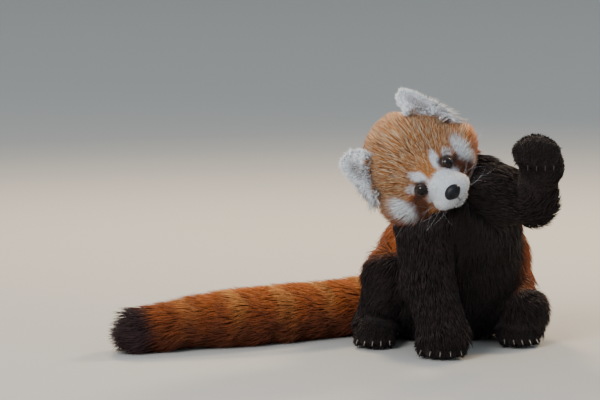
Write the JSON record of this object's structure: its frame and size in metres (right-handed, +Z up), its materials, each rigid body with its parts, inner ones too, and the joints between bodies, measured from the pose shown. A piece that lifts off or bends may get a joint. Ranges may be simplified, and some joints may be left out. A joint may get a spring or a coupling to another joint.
{
  "type": "red panda model",
  "caption": "Life-size still model of a seated red panda, head cocked, one forepaw raised, bushy tail laid along the ground.",
  "frame": {"origin": "on the ground under the middle of the animal's bounding box", "axes": "+Z up, the tail is laid out towards -X, the face and the planted forepaw are on the -Y side, the raised forepaw is on the +X side"},
  "size_m": [0.591, 0.3082, 0.3588],
  "materials": {
    "coat_russet": "dense russet fur of the neck, back and flanks",
    "coat_dark": "dense black-brown fur of the legs, arms, throat and belly",
    "coat_face": "short golden-brown fur of the face with white and dark markings",
    "coat_white": "white fur of the ears and the muzzle",
    "coat_tail": "long russet fur with faint paler rings and a blackish tip",
    "nose_leather": "moist black skin",
    "eye": "wet dark brown",
    "claw": "pale smooth horn"
  },
  "bodies": {
    "root": {"head": "coat_face", "jaw": "coat_white", "nose": "nose_leather", "eye_left": "eye", "eye_right": "eye", "ear_left": "coat_white", "ear_right": "coat_white", "torso": "coat_russet", "neck": "coat_russet", "upper_arm_left": "coat_dark", "forearm_left": "coat_dark", "forepaw_left": "coat_dark", "forepaw_left_claw_1": "claw", "forepaw_left_claw_2": "claw", "forepaw_left_claw_3": "claw", "forepaw_left_claw_4": "claw", "forepaw_left_claw_5": "claw", "upper_arm_right": "coat_dark", "forearm_right": "coat_dark", "forepaw_right": "coat_dark", "forepaw_right_claw_1": "claw", "forepaw_right_claw_2": "claw", "forepaw_right_claw_3": "claw", "forepaw_right_claw_4": "claw", "forepaw_right_claw_5": "claw", "thigh_left": "coat_dark", "shank_left": "coat_dark", "hind_foot_left": "coat_dark", "hind_foot_left_claw_1": "claw", "hind_foot_left_claw_2": "claw", "hind_foot_left_claw_3": "claw", "hind_foot_left_claw_4": "claw", "hind_foot_left_claw_5": "claw", "thigh_right": "coat_dark", "shank_right": "coat_dark", "hind_foot_right": "coat_dark", "hind_foot_right_claw_1": "claw", "hind_foot_right_claw_2": "claw", "hind_foot_right_claw_3": "claw", "hind_foot_right_claw_4": "claw", "hind_foot_right_claw_5": "claw", "tail": "coat_tail"}
  },
  "joints": []
}
